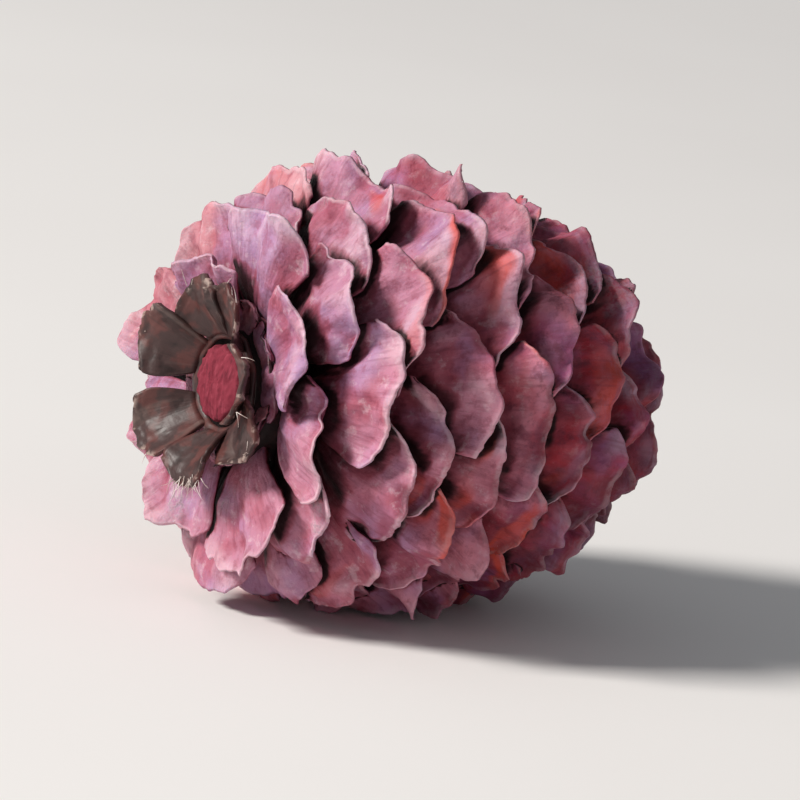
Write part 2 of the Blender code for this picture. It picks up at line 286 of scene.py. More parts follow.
TIP_LIFT_RANGE = (-0.5 * MM, 0.35 * MM)
ANGLE_SHIFT = 0.07
BOW_SHIFT = 0.03
WIDTH_RANGE = (0.94, 1.03)
SAG_RANGE = (0.5, 1.3)
FLARE_RANGE = (0.3, 1.4)
WAVE_RANGE = (0.4, 1.3)
PITCH_RANGE = (0.7, 1.2)
SLANT_SHIFT = 0.1
POINT_RANGE = (0.0, 0.1)
POINT_SHIFT = 0.35
SEED = 31

# These are the same for every scale, so they are inputs of its node tree. A depth or height is the
# whole swing of its noise, which seldom gets that far. A growth is a power of the share of the way
# from root to rim, and for wander and calm from the middle to the edge.
SCALE_SIZES = {
    "Root Angle Share": 0.6,
    "Shoulder At": 0.7,
    "Rim Rounding": 0.09,
    "Rounding Power": 3.5,
    "Point Power": 1.3,
    "Wave Growth": 1.5,
    "Flare Growth": 6.0,
    "Root Thickness": 0.7 * MM,
    "Rim Thickness": 0.36 * MM,
    "Edge Thinning": 0.3,
    "Nibble Depth": 0.6 * MM,
    "Fray Depth": 0.36 * MM,
    "Notch Depth": 0.45 * MM,
    "Corner Depth": 0.8 * MM,
    "Tear Growth": 9.0,
    "Edge Wander": 0.16,
    "Crimp Depth": 3.4 * MM,
    "Crimp Growth": 5.0,
    "Crease Height": 1.0 * MM,
    "Crease Growth": 2.0,
    "Crease Middle": 0.45,
    "Lip Height": 0.9 * MM,
    "Lip Growth": 16.0,
    "Lump Height": 1.2 * MM,
    "Dent Depth": 0.92 * MM,
    "Ridge Height": 0.26 * MM,
    "Edge Calm": 0.6,
    "Rim Roundness": 0.12 * MM,
    "Roundness Growth": 20.0,
    "Thinning Growth": 14.0,
    "Wander Growth": 4.0,
    "Calm Growth": 6.0,
    "Ridge Narrowing": 5.0,
    "Least Radius": 0.05 * MM,
    "Least Half Thickness": 0.07 * MM,
}
SCALE_ROWS = 30
SCALE_COLUMNS = 52
ROW_CROWDING = 1.5

# How far a blade's chance moves it through the patterns, so that no two blades show the same ones.
CHANCE_STEP = 40.0
SCALE_BANDS = ("stalk_end_scales", "lower_scales", "upper_scales", "tip_scales")

# The ways that a point of a scale looks out to find what shelters it: how far each leans from
# straight out of its face, away from the axis, towards the stalk and round the axis.
LOOKS_OUT = (
    (0.0, 0.0, 0.0),
    (0.8, 0.8, 0.0),
    (0.0, 1.0, 0.0),
    (0.3, 0.5, 0.9),
    (0.3, 0.5, -0.9),
    (0.0, 0.0, 0.9),
    (0.0, 0.0, -0.9),
    (0.6, -0.7, 0.0),
)
LOOK_LEAST_RADIUS = 0.01 * MM
LOOK_START = 0.06 * MM
LOOK_LENGTH = 3.2 * MM


def smoothstep(low, high, value):
    """0 up to low and 1 from high on, with a smooth step between."""
    t = min(1.0, max(0.0, (value - low) / (high - low)))
    return t * t * (3.0 - 2.0 * t)


def outline_radius(x):
    """How far from the axis the scale tips reach."""
    if x < WIDEST_AT:
        reach, power = STALK_END_REACH, STALK_END_POWER
    else:
        reach, power = TIP_END_REACH, TIP_END_POWER
    share = min(1.0, abs(x - WIDEST_AT) / reach)
    return WIDEST_RADIUS * (1.0 - share**power) ** (1.0 / power)


def tip_places():
    """Where each scale's tip lies along the axis, spaced on the outline from the bracts on."""
    walk = [mix(FIRST_TIP_AT, LAST_TIP_AT, i / OUTLINE_STEPS) for i in range(OUTLINE_STEPS + 1)]
    gone = [0.0]
    for here, after in zip(walk, walk[1:]):
        gone.append(gone[-1] + math.hypot(after - here, outline_radius(after) - outline_radius(here)))
    places, step = [], 0
    for index in range(SCALE_COUNT):
        wanted = gone[-1] * (index / (SCALE_COUNT - 1)) ** TIP_CROWDING
        while step < OUTLINE_STEPS - 1 and gone[step + 1] < wanted:
            step += 1
        share = (wanted - gone[step]) / (gone[step + 1] - gone[step])
        places.append(mix(walk[step], walk[step + 1], share))
    return places


def scale_seats():
    """One row of measures for each scale, from the stalk end to the tip, as the solids have them."""
    draw = random.Random(SEED)
    seats = []
    for index, place in enumerate(tip_places()):
        grown = index / (SCALE_COUNT - 1)
        closing = smoothstep(CLOSING_FROM, 1.0, grown)
        tip_x = place + draw.uniform(-TIP_SHIFT, TIP_SHIFT)
        tip_radius = outline_radius(tip_x) * mix(1.0, CLOSED_RADIUS_SHARE, closing)
        tip_radius += draw.uniform(*TIP_LIFT_RANGE)
        root_x = mix(FIRST_ROOT_AT, LAST_ROOT_AT, grown**ROOT_CROWDING)
        half_angle = mix(LOWEST_HALF_ANGLE, HALF_ANGLE, smoothstep(0.0, LOWEST_WIDE_UNTIL, grown))
        half_angle = mix(half_angle, TIP_HALF_ANGLE, smoothstep(TIP_WIDE_FROM, 1.0, grown))
        bow = mix(LOWEST_BOW, BOW, smoothstep(0.0, LOWEST_BOW_UNTIL, grown))
        sag = mix(LOWEST_EDGE_SAG, EDGE_SAG, smoothstep(0.0, LOWEST_FLARE_UNTIL, grown))
        flare = mix(LOWEST_FLARE, RIM_FLARE, smoothstep(0.0, LOWEST_FLARE_UNTIL, grown))
        flare *= mix(1.0, CLOSED_FLARE_SHARE, closing)
        wave = WAVE_DEPTH * mix(1.0, CLOSED_WAVE_SHARE, closing)
        seats.append(
            {
                "angle": FIRST_ANGLE + index * GOLDEN_ANGLE + draw.uniform(-ANGLE_SHIFT, ANGLE_SHIFT),
                "root_x": root_x,
                "root_radius": core_radius(root_x) - ROOT_SUNK,
                "tip_x": tip_x,
                "tip_radius": max(CLOSED_LEAST_RADIUS, tip_radius),
                "bow": bow + draw.uniform(-BOW_SHIFT, BOW_SHIFT),
                "half_angle": half_angle * draw.uniform(*WIDTH_RANGE),
                "sag": sag * draw.uniform(*SAG_RANGE),
                "flare": flare * draw.uniform(*FLARE_RANGE),
                "wave": wave * draw.uniform(*WAVE_RANGE),
                "pitch": math.pi * WAVES_ACROSS * draw.uniform(*PITCH_RANGE),
                "phase": draw.uniform(0.0, 2.0 * math.pi),
                "slant": draw.uniform(-SLANT_SHIFT, SLANT_SHIFT),
                "point": draw.uniform(*POINT_RANGE),
                "point_at": draw.uniform(-POINT_SHIFT, POINT_SHIFT),
                "grown": grown,
                "chance": index * GOLDEN_SHARE % 1.0,
                "number": float(index),
            }
        )
    return seats


def store_shade_cover(tree, blades):
    """Stores how far the blades all round a point cover it, from 0 in the open to 1 in a deep gap."""
    place = add_node(tree, "GeometryNodeInputPosition").outputs[0]
    normal = add_node(tree, "GeometryNodeInputNormal").outputs[0]
    x, y, z = (Field(socket) for socket in add_node(tree, "ShaderNodeSeparateXYZ", {0: place}).outputs)
    y_out = y - stalk_end.y
    z_out = z - (stalk_end.z - (x - stalk_end.x) * math.tan(LIE_TILT))
    radius = (y_out * y_out + z_out * z_out) ** 0.5 + LOOK_LEAST_RADIUS
    out_y, out_z = y_out / radius, z_out / radius
    covered = 0.0
    for away, stalkwards, sideways in LOOKS_OUT:
        lean = {0: -stalkwards, 1: out_y * away + out_z * sideways, 2: out_z * away - out_y * sideways}
        lean = add_node(tree, "ShaderNodeCombineXYZ", lean).outputs[0]
        way = add_node(tree, "ShaderNodeVectorMath", {0: normal, 1: lean}, operation="ADD").outputs[0]
        way = add_node(tree, "ShaderNodeVectorMath", {0: way}, operation="NORMALIZE").outputs[0]
        start = {0: way, 1: (LOOK_START,) * 3, 2: place}
        start = add_node(tree, "ShaderNodeVectorMath", start, operation="MULTIPLY_ADD").outputs[0]
        ray = {"Source Position": start, "Ray Direction": way, "Ray Length": LOOK_LENGTH}
        seen = add_node(tree, "GeometryNodeRaycast", {"Target Geometry": blades} | ray).outputs
        covered = Field(seen["Is Hit"]) * (1.0 - Field(seen["Hit Distance"]) / LOOK_LENGTH) + covered
    # This cover is used only to paint shade into the scales' colour.
    store = {"Geometry": blades, "Name": "shade_cover", "Value": covered / len(LOOKS_OUT)}
    return add_node(tree, "GeometryNodeStoreNamedAttribute", store).outputs[0]


def set_inputs(modifier, values):
    """Sets a node modifier's inputs, given by name, through their sockets' identifiers."""
    for socket in modifier.node_group.interface.items_tree:
        if socket.name in values:
            modifier[socket.identifier] = values[socket.name]


def plain_mesh(name, thing):
    """What an object looks like after its modifiers, or a curve with its thickness, as a plain mesh."""
    mesh = bpy.data.meshes.new_from_object(thing.evaluated_get(bpy.context.evaluated_depsgraph_get()))
    mesh.name = name
    return mesh


def grow_blades(name, seats, sizes, rows, columns, shape, material):
    """Grows one closed thin blade on each seat with Geometry Nodes, and gives them as one plain mesh.

    A blade starts as a fine box, 2 wide, 1 long and 2 deep. shape moves each point of it, from u
    (0 root, 1 rim), v (-1 to 1, edge to edge) and side (1 outside, -1 inside, 0 on the edge between).
    """
    points = bpy.data.meshes.new(name + "_seats")
    points.from_pydata([(0.0, 0.0, 0.0)] * len(seats), [], [])
    for label in seats[0]:
        values = points.attributes.new(label, "FLOAT", "POINT")
        values.data.foreach_set("value", [seat[label] for seat in seats])
    grower = placed(name + "_grower", points)

    tree = bpy.data.node_groups.new(name, "GeometryNodeTree")
    inputs = {"Rows": rows, "Columns": columns} | sizes
    tree.interface.new_socket("Seats", in_out="INPUT", socket_type="NodeSocketGeometry")
    for label, value in inputs.items():
        kind = "NodeSocketInt" if isinstance(value, int) else "NodeSocketFloat"
        tree.interface.new_socket(label, in_out="INPUT", socket_type=kind)
    tree.interface.new_socket("Blades", in_out="OUTPUT", socket_type="NodeSocketGeometry")
    given = add_node(tree, "NodeGroupInput").outputs
    counts = {"Vertices X": given["Columns"], "Vertices Y": given["Rows"], "Vertices Z": 3}
    box = add_node(tree, "GeometryNodeMeshCube", {"Size": (2.0, 1.0, 2.0)} | counts).outputs[0]
    copies = {"Points": given["Seats"], "Instance": box}
    copies = add_node(tree, "GeometryNodeInstanceOnPoints", copies).outputs[0]
    blades = add_node(tree, "GeometryNodeRealizeInstances", {"Geometry": copies}).outputs[0]

    measure = {
        label: Field(add_node(tree, "GeometryNodeInputNamedAttribute", {"Name": label}).outputs[0])
        for label in seats[0]
    }
    size = {label: Field(given[label]) for label in sizes}
    raw = add_node(tree, "ShaderNodeSeparateXYZ", {0: add_node(tree, "GeometryNodeInputPosition").outputs[0]})
    u = 1.0 - (0.5 - Field(raw.outputs[1])) ** ROW_CROWDING
    v, side = Field(raw.outputs[0]), Field(raw.outputs[2])
    across, along, relief, place = shape(tree, size, measure, u, v, side)
    grain = add_node(tree, "ShaderNodeCombineXYZ", {0: across, 1: along, 2: measure["chance"]})
    for label, value, kind in (
        ("reach", u, "FLOAT"),
        ("side", side, "FLOAT"),
        ("relief", relief / MM, "FLOAT"),
        ("grain", grain.outputs[0], "FLOAT_VECTOR"),
    ):
        store = {"Geometry": blades, "Name": label, "Value": value}
        blades = add_node(tree, "GeometryNodeStoreNamedAttribute", store, data_type=kind).outputs[0]
    blades = add_node(tree, "GeometryNodeSetPosition", {"Geometry": blades, "Position": place}).outputs[0]
    blades = add_node(tree, "GeometryNodeFlipFaces", {0: blades}).outputs[0]
    blades = store_shade_cover(tree, blades)
    blades = add_node(tree, "GeometryNodeSetShadeSmooth", {0: blades}).outputs[0]
    blades = add_node(tree, "GeometryNodeSetMaterial", {"Geometry": blades, "Material": material}).outputs[0]
    add_node(tree, "NodeGroupOutput", {0: blades})

    growth = grower.modifiers.new("growth", "NODES")
    growth.node_group = tree
    set_inputs(growth, inputs)
    mesh = plain_mesh(name, grower)
    bpy.data.objects.remove(grower)
    for label in seats[0]:
        if label not in ("grown", "chance", "number"):
            mesh.attributes.remove(mesh.attributes[label])
    return placed(name, mesh)


def band_of(scales, name, first, last):
    """Takes the scales numbered from first to last - 1 out of the whole, as a mesh of their own."""
    tree = bpy.data.node_groups.new(name, "GeometryNodeTree")
    tree.interface.new_socket("Scales", in_out="INPUT", socket_type="NodeSocketGeometry")
    for label in ("First", "Last"):
        tree.interface.new_socket(label, in_out="INPUT", socket_type="NodeSocketInt")
    tree.interface.new_socket("Band", in_out="OUTPUT", socket_type="NodeSocketGeometry")
    given = add_node(tree, "NodeGroupInput").outputs
    number = Field(add_node(tree, "GeometryNodeInputNamedAttribute", {"Name": "number"}).outputs[0])
    low = number.math("LESS_THAN", Field(given["First"]) - 0.5)
    high = number.math("GREATER_THAN", Field(given["Last"]) - 0.5)
    others = {"Geometry": given["Scales"], "Selection": low + high}
    band = add_node(tree, "GeometryNodeDeleteGeometry", others).outputs[0]
    add_node(tree, "NodeGroupOutput", {0: band})
    taken = scales.modifiers.new("taken", "NODES")
    taken.node_group = tree
    set_inputs(taken, {"First": first, "Last": last})
    mesh = plain_mesh(name, scales)
    scales.modifiers.remove(taken)
    return placed(name, mesh)


def lying(tree, x, radius, angle):
    """Turns a place on the cone's own axis into one on the ground, as laid_down does."""
    y = radius * angle.math("SINE") + stalk_end.y
    z = radius * angle.math("COSINE")
    axis_x, axis_z = math.cos(LIE_TILT), math.sin(LIE_TILT)
    return x * axis_x + z * axis_z + stalk_end.x, y, z * axis_x - x * axis_z + stalk_end.z


def scale_shape(tree, size, seat, u, v, side):
    """One seed scale: the solids' own blade, with a thinner, frayed and crimped rim."""
    across = v * seat["half_angle"] * seat["tip_radius"]
    run_x, run_r = seat["tip_x"] - seat["root_x"], seat["tip_radius"] - seat["root_radius"]
    length = (run_x**2.0 + run_r**2.0) ** 0.5
    from_root = u * length
    chance = seat["chance"] * CHANCE_STEP
    place, at_rim, narrow = (
        add_node(tree, "ShaderNodeCombineXYZ", parts).outputs[0]
        for parts in (
            {0: across, 1: from_root, 2: chance * MM},
            {0: across, 1: chance * MM},
            {0: across * size["Ridge Narrowing"], 1: from_root, 2: chance * MM},
        )
    )

    # Each drift has its width, its detail and the middle that is taken off it. Those at the rim change
    # from edge to edge alone, so a tear runs straight in.
    drift = {}
    for label, at, wide, detail, middle in (
        ("nibble", at_rim, 2.2 * MM, 1.0, 0.4),
        ("fray", at_rim, 0.8 * MM, 1.0, 0.4),
        ("notch", at_rim, 2.3 * MM, 0.0, 0.0),
        ("lip", at_rim, 2.8 * MM, 2.0, 0.35),
        ("wander", place, 2.6 * MM, 1.0, 0.3),
        ("crimp", place, 4.6 * MM, 0.6, 0.42),
        ("lump", place, 3.4 * MM, 1.0, 0.5),
        ("dent", place, 1.5 * MM, 1.5, 0.5),
        ("ridge", narrow, 2.6 * MM, 2.0, 0.5),
    ):
        inputs = {"Vector": at, "Scale": 1.0 / wide, "Detail": detail}
        drift[label] = Field(add_node(tree, "ShaderNodeTexNoise", inputs).outputs[0]) - middle
    corner, crease = (
        Field(add_node(tree, "ShaderNodeTexVoronoi", {"Vector": at, "Scale": 1.0 / wide}).outputs["Distance"])
        for at, wide in ((at_rim, 2.6 * MM), (place, 3.0 * MM))
    )

    edge = (side * side - 1.0) * -1.0
    torn = drift["nibble"] * size["Nibble Depth"] + drift["fray"] * size["Fray Depth"]
    torn += drift["notch"].passing(0.6, 0.8) * size["Notch Depth"]
    torn = (torn + corner * size["Corner Depth"]) / length * u ** size["Tear Growth"]
    rounding = size["Rim Rounding"] * v.math("ABSOLUTE") ** size["Rounding Power"]
    rounding += seat["point"] * (v - seat["point_at"]).math("ABSOLUTE") ** size["Point Power"]
    along = u * (1.0 - rounding + seat["slant"] * v) - torn
    along += edge * size["Rim Roundness"] / length * u ** size["Roundness Growth"]

    middle_x = 0.5 * (seat["root_x"] + seat["tip_x"]) - seat["bow"] * run_r
    middle_r = 0.5 * (seat["root_radius"] + seat["tip_radius"]) + seat["bow"] * run_x
    back = 1.0 - along
    x = back * back * seat["root_x"] + 2.0 * along * back * middle_x + along * along * seat["tip_x"]
    r = back * back * seat["root_radius"] + 2.0 * along * back * middle_r + along * along * seat["tip_radius"]
    slope_x = back * (middle_x - seat["root_x"]) + along * (seat["tip_x"] - middle_x)
    slope_r = back * (middle_r - seat["root_radius"]) + along * (seat["tip_radius"] - middle_r)
    slope = (slope_x * slope_x + slope_r * slope_r) ** 0.5

    lift = seat["wave"] * (seat["pitch"] * v + seat["phase"]).math("SINE") * along ** size["Wave Growth"]
    lift += seat["flare"] * along ** size["Flare Growth"] - seat["sag"] * v * v * along
    relief = drift["crimp"] * size["Crimp Depth"] * u ** size["Crimp Growth"]
    relief += drift["lump"] * size["Lump Height"] * u
    relief += drift["dent"] * size["Dent Depth"] * u
    relief += drift["lip"] * size["Lip Height"] * u ** size["Lip Growth"]
    relief += (crease - size["Crease Middle"]) * size["Crease Height"] * u ** size["Crease Growth"]
    relief *= 1.0 - size["Edge Calm"] * v ** size["Calm Growth"]
    lift += relief
    lift += drift["ridge"] * size["Ridge Height"] * u.passing(0.2, 0.7)
    thinning = (u * 2.0).math("MINIMUM", 1.0)
    thickness = size["Root Thickness"] * (1.0 - thinning) + size["Rim Thickness"] * thinning
    outermost = u.math("MAXIMUM", v.math("ABSOLUTE"))
    thickness *= 1.0 - size["Edge Thinning"] * outermost ** size["Thinning Growth"]
    lift += side * 0.5 * thickness

    opened = (0.5 * math.pi * (along / size["Shoulder At"]).math("MINIMUM", 1.0)).math("SINE")
    spread = size["Root Angle Share"] * (1.0 - opened) + opened
    spread *= 1.0 - size["Edge Wander"] * drift["wander"] * v ** size["Wander Growth"]
    radius = (r + lift * slope_x / slope).math("MAXIMUM", size["Least Radius"])
    angle = seat["angle"] + v * seat["half_angle"] * spread
    px, py, pz = lying(tree, x - lift * slope_r / slope, radius, angle)
    pz = pz.math("MAXIMUM", (1.0 - side) * size["Least Half Thickness"])
    return across, from_root, relief, add_node(tree, "ShaderNodeCombineXYZ", {0: px, 1: py, 2: pz}).outputs[0]


def dyed_scale():
    """A dried cone scale: thin woody tissue, matte and chalky with dye outside, satin red-brown inside."""
    material, tree, shader, place = finish(
        "dyed_dried_cone_scale",
        roughness=0.6,
        specular_ior_level=0.35,
        subsurface_weight=0.12,
        subsurface_scale=0.6 * MM,
        subsurface_radius=(1.0, 0.25, 0.18),
    )
    worn = {
        label: add_node(tree, "ShaderNodeAttribute", attribute_name=label)
        for label in ("reach", "side", "relief", "shade_cover", "grown", "chance", "grain")
    }
    reach, side, relief, shade_cover, grown, chance = (
        Field(worn[label].outputs["Fac"])
        for label in ("reach", "side", "relief", "shade_cover", "grown", "chance")
    )
    grain = worn["grain"].outputs["Vector"]
    lengthwise, rimwise, moved = (
        add_node(tree, "ShaderNodeMapping", {"Vector": at, "Location": shift, "Scale": stretch}).outputs[0]
        for at, shift, stretch in (
            (grain, (0.0, 0.0, 0.0), (1.0, 0.16, CHANCE_STEP)),
            (grain, (0.0, 0.0, 0.0), (0.4, 1.0, CHANCE_STEP)),
            (place, (0.05, 0.02, 0.03), (1.0, 1.0, 1.0)),
        )
    )

    # Each pattern has its width: the dye drifts over nearly a centimetre and pools over a few millimetres.
    # The real fibres and grit are about 0.1 mm wide, and are drawn three times as coarse, so they show.
    noises = {}
    for label, at, wide, detail, rough in (
        ("drift", place, 9.0 * MM, 2.0, 0.5),
        ("red", place, 5.0 * MM, 4.0, 0.5),
        ("lavender", moved, 5.5 * MM, 4.0, 0.5),
        ("painted_glow", rimwise, 3.2 * MM, 1.5, 0.5),
        ("dust_and_highlight", rimwise, 1.6 * MM, 5.0, 0.65),
        ("fibre", lengthwise, 0.35 * MM, 3.0, 0.5),
        ("mottle", place, 1.1 * MM, 6.0, 0.65),
        ("grit", place, 0.3 * MM, 3.0, 0.5),
        ("weather", moved, 8.0 * MM, 4.0, 0.5),
    ):
        inputs = {"Vector": at, "Scale": 1.0 / wide, "Detail": detail, "Roughness": rough}
        noises[label] = Field(add_node(tree, "ShaderNodeTexNoise", inputs).outputs[0])
    drift, fibre, mottle, grit = (noises[label] for label in ("drift", "fibre", "mottle", "grit"))

    # The dye runs from pale pink at the stalk end to wine red at the tip; the darkest stops at the tip end
    # are partly painted shade.
    ramp = add_node(tree, "ShaderNodeValToRGB", {0: grown + (drift - 0.5) * 0.5 + (chance - 0.5) * 0.16})
    stops = ((0.0, "#b87e95"), (0.2, "#c98197"), (0.42, "#ce7c8e"), (0.6, "#9c3748"), (1.0, "#581426"))
    while len(ramp.color_ramp.elements) < len(stops):
        ramp.color_ramp.elements.new(0.5)
    for element, (at, code) in zip(ramp.color_ramp.elements, stops):
        element.position = at
        element.color = linear(code)

    late = grown.passing(0.25, 0.6)
    red = noises["red"].passing(0.47, 0.61)
    lavender = noises["lavender"].passing(0.48, 0.66)
    # Partly orange-red dye, partly a painted glow of light shining through the thin rims of mid-cone scales.
    painted_glow = noises["painted_glow"].passing(0.56, 0.64) * reach.passing(0.7, 0.93)
    painted_glow *= grown.passing(0.12, 0.3) * grown.passing(0.9, 0.5)
    # Patches of dust, also used to break up the painted highlight on crests.
    dust_and_highlight = noises["dust_and_highlight"].passing(0.45, 0.62)
    weathered = noises["weather"].passing(0.6, 0.72) * (1.0 - 0.5 * late)
    # Painted shade in the hollows of each scale's relief: redder all over, near black in the tip half.
    painted_hollow_shade = relief.passing(0.15, -0.3)
    # Painted highlight on the crests of each scale's relief.
    painted_crest_highlight = relief.passing(0.25, 0.8)
    # A pale line along the rims: partly worn edge, partly a painted highlight where the rounded edge catches
    # light.
    rim = reach.passing(0.96, 0.99) * drift.passing(0.42, 0.56)
    early = 1.0 - 0.75 * late
    outside = painted(
        tree,
        ramp.outputs[0],
        [
            (chance.passing(0.6, 0.85) * 0.35 * early, linear("#cc8c80")),
            (chance.passing(0.35, 0.1) * 0.3 * early, linear("#ac8ab2")),
            (red * 0.6 * early, linear("#ac485a")),
            (red * 0.9 * late, linear("#a81e2e")),
            (lavender * 0.55 * early, linear("#a98cba")),
            (lavender * 0.4 * late, linear("#8a5c9c")),
            (painted_hollow_shade * 0.7, linear("#a03e50")),
            (painted_hollow_shade * 0.4 * late, linear("#3c101b")),
            # Painted shade: dark red where other blades begin to cover a point.
            (shade_cover.passing(0.01, 0.18) * 0.6, linear("#a03a49")),
            # Painted highlight: pale pink on crests in the stalk half.
            (painted_crest_highlight * 0.4 * early, linear("#e6c6d2")),
            (mottle.passing(0.5, 0.68) * 0.5, linear("#8c3a50")),
            (mottle.passing(0.5, 0.66) * 0.35 * late, linear("#3a0f18")),
            (mottle.passing(0.46, 0.3) * 0.35 * early, linear("#ecd6e0")),
            # Painted glow of light through thin tissue, over orange-red dye.
            (painted_glow * 0.8, linear("#d64a34")),
            (reach.passing(0.8, 0.98) * dust_and_highlight * 0.3 * late, linear("#a07c9c")),
            # Dust on crests of the tip half, lightened further as a painted highlight.
            (painted_crest_highlight * dust_and_highlight * 0.4 * late, linear("#bfa6bd")),
            (fibre.passing(0.5, 0.68) * 0.3, linear("#7a3347")),
            (weathered * grit.passing(0.35, 0.6) * 0.5, linear("#c9bac4")),
            (weathered * grit.passing(0.5, 0.68) * 0.4, linear("#3d262e")),
            # Painted shade: near black deep in the gaps between scales.
            (shade_cover.passing(0.1, 0.4) * 0.96, linear("#1d080c")),
            # Pale rim line: worn edge and painted highlight.
            (rim * mottle.passing(0.35, 0.6) * 0.4 * (1.0 - 0.5 * late), linear("#f0d8e2")),
        ],
    )
    inside = painted(
        tree,
        linear("#47141a"),
        [
            (mottle.passing(0.45, 0.7) * 0.7, linear("#7a2422")),
            (reach.passing(0.75, 1.0) * 0.6, linear("#94506a")),
            # Painted shade: near black where the inside faces lie deep under other scales.
            (shade_cover.passing(0.1, 0.5) * 0.8, linear("#1b070b")),
        ],
    )
    colour = painted(tree, inside, [(side.passing(-0.6, 0.2), outside)])
    tree.links.new(colour, shader.inputs["Base Color"])
    roughness = 0.38 + 0.26 * side.passing(-0.6, 0.2) + (mottle - 0.5) * 0.2
    tree.links.new(roughness.socket, shader.inputs["Roughness"])
    height = fibre * 0.4 + mottle * 1.0 + grit * 0.35
    bump = add_node(tree, "ShaderNodeBump", {"Height": height, "Strength": 0.75, "Distance": 0.2 * MM})
    tree.links.new(bump.outputs[0], shader.inputs["Normal"])
    return material


seats = scale_seats()
scale_finish = dyed_scale()
all_scales = grow_blades(
    "seed_scales", seats, SCALE_SIZES, SCALE_ROWS, SCALE_COLUMNS, scale_shape, scale_finish
)
for band, name in enumerate(SCALE_BANDS):
    first, last = (round(len(seats) * edge / len(SCALE_BANDS)) for edge in (band, band + 1))
    scales = band_of(all_scales, name, first, last)
    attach(scales, "root")
    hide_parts("cone_scales")
bpy.data.objects.remove(all_scales)


# The collar. These are the first and smallest scales, which bear no seeds: they lie flat over the end
# of the axis, half under the bracts, and close the cone up to them. They have the seed scales' tissue,
# shape and dye, with hardly a crimp.
COLLAR_COUNT = 9
COLLAR_ROWS = 14
COLLAR_COLUMNS = 20
COLLAR_SHIFT = 0.16
COLLAR_REACH_RANGE = (5.4 * MM, 6.3 * MM)
COLLAR_TIP_RANGE = (1.0 * MM, 1.3 * MM)
COLLAR_SEAT = {
    "root_x": 1.9 * MM,
    "root_radius": 3.5 * MM,
    "bow": 0.12,
    "half_angle": math.radians(27.0),
    "sag": 0.15 * MM,
    "flare": 0.1 * MM,
    "wave": 0.15 * MM,
    "pitch": 4.0,
    "slant": 0.0,
    "point": 0.05,
    "point_at": 0.0,
    "grown": 0.02,
}
COLLAR_SIZES = SCALE_SIZES | {"Crimp Depth": 1.0 * MM, "Crease Height": 0.4 * MM, "Lip Height": 0.1 * MM}

collar_draw = random.Random(SEED + 3)
collar_seats = [
    COLLAR_SEAT
    | {
        "angle": 2.0 * math.pi * index / COLLAR_COUNT + collar_draw.uniform(-COLLAR_SHIFT, COLLAR_SHIFT),
        "tip_x": collar_draw.uniform(*COLLAR_TIP_RANGE),
        "tip_radius": collar_draw.uniform(*COLLAR_REACH_RANGE),
        "phase": collar_draw.uniform(0.0, 2.0 * math.pi),
        "chance": collar_draw.random(),
        "number": float(index),
    }
    for index in range(COLLAR_COUNT)
]
collar = grow_blades(
    "collar_scales", collar_seats, COLLAR_SIZES, COLLAR_ROWS, COLLAR_COLUMNS, scale_shape, scale_finish
)
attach(collar, "root")
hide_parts("cone_scales")


# The basal bracts. They are the leathery bud scales that wrapped the young cone, seven of them left
# in a ring round the stalk, dark brown and crumpled, with torn ends that pale fibres stand out of.
CLEARANCE = 0.3 * MM
STUB_RADIUS = 2.6 * MM
BRACT_COUNT = 7
BRACT_RING_WALL = 0.8 * MM
BRACT_RING_DEPTH = 0.9 * MM
BRACT_GAP = math.radians(24.0)
BRACT_GAP_AT = math.radians(108.0)
BRACT_LENGTH = 4.2 * MM
BRACT_HALF_WIDTH = 2.6 * MM
BRACT_RISE = 2.12 * MM
BRACT_ANGLE_SHIFT = 0.14
BRACT_LENGTH_RANGE = (0.86, 1.12)
BRACT_WIDTH_RANGE = (0.88, 1.12)
BRACT_RISE_RANGE = (0.75, 1.25)
BRACT_SLANT_SHIFT = 0.12
BRACT_SIZES = {
    "Root Share": 0.5,
    "Shoulder At": 0.8,
    "Tip Rounding": 0.3,
    "Tip Flat": 0.3,
    "Cup": 0.35 * MM,
    "Thickness": 0.4 * MM,
    "Tear Depth": 0.3 * MM,
    "Tear Growth": 6.0,
    "Crumple": 1.1 * MM,
    "Root Inset": 0.3 * MM,
}
BRACT_ROWS = 36
BRACT_COLUMNS = 30
BRACT_RING_ROUNDS = 16
BRACT_RING_WORN = 0.18 * MM
BRACT_RING_LUMP = 0.2 * MM
FIBRE_RADIUS = 0.03 * MM
FIBRE_LENGTH_RANGE = (0.6 * MM, 1.6 * MM)
FIBRE_START_RANGE = (0.86, 1.0)
FIBRE_SPREAD = 0.7
FIBRE_PROUD = 0.1 * MM
FIBRE_TURN = 0.6
FIBRE_BEND = 0.5
FIBRE_LIFT_RANGE = (-0.45, 0.1)
FIBRE_THINNING = 0.7
FIBRE_STEPS = 4
POINTS_DOWN = -0.8
LOWEST_FIBRES = 30
OTHER_FIBRES = 3


def bract_seats():
    """One row of measures for each bract of the ring, which has one wide gap, as the solids have them."""
    draw = random.Random(SEED + 1)
    turn = (2.0 * math.pi - BRACT_GAP) / BRACT_COUNT
    first = BRACT_GAP_AT + 0.5 * (BRACT_GAP + turn)
    return [
        {
            "angle": first + index * turn + draw.uniform(-BRACT_ANGLE_SHIFT, BRACT_ANGLE_SHIFT),
            "length": BRACT_LENGTH * draw.uniform(*BRACT_LENGTH_RANGE),
            "half_width": BRACT_HALF_WIDTH * draw.uniform(*BRACT_WIDTH_RANGE),
            "rise": BRACT_RISE * draw.uniform(*BRACT_RISE_RANGE),
            "slant": draw.uniform(-BRACT_SLANT_SHIFT, BRACT_SLANT_SHIFT),
            "chance": index / BRACT_COUNT,
        }
        for index in range(BRACT_COUNT)
    ]


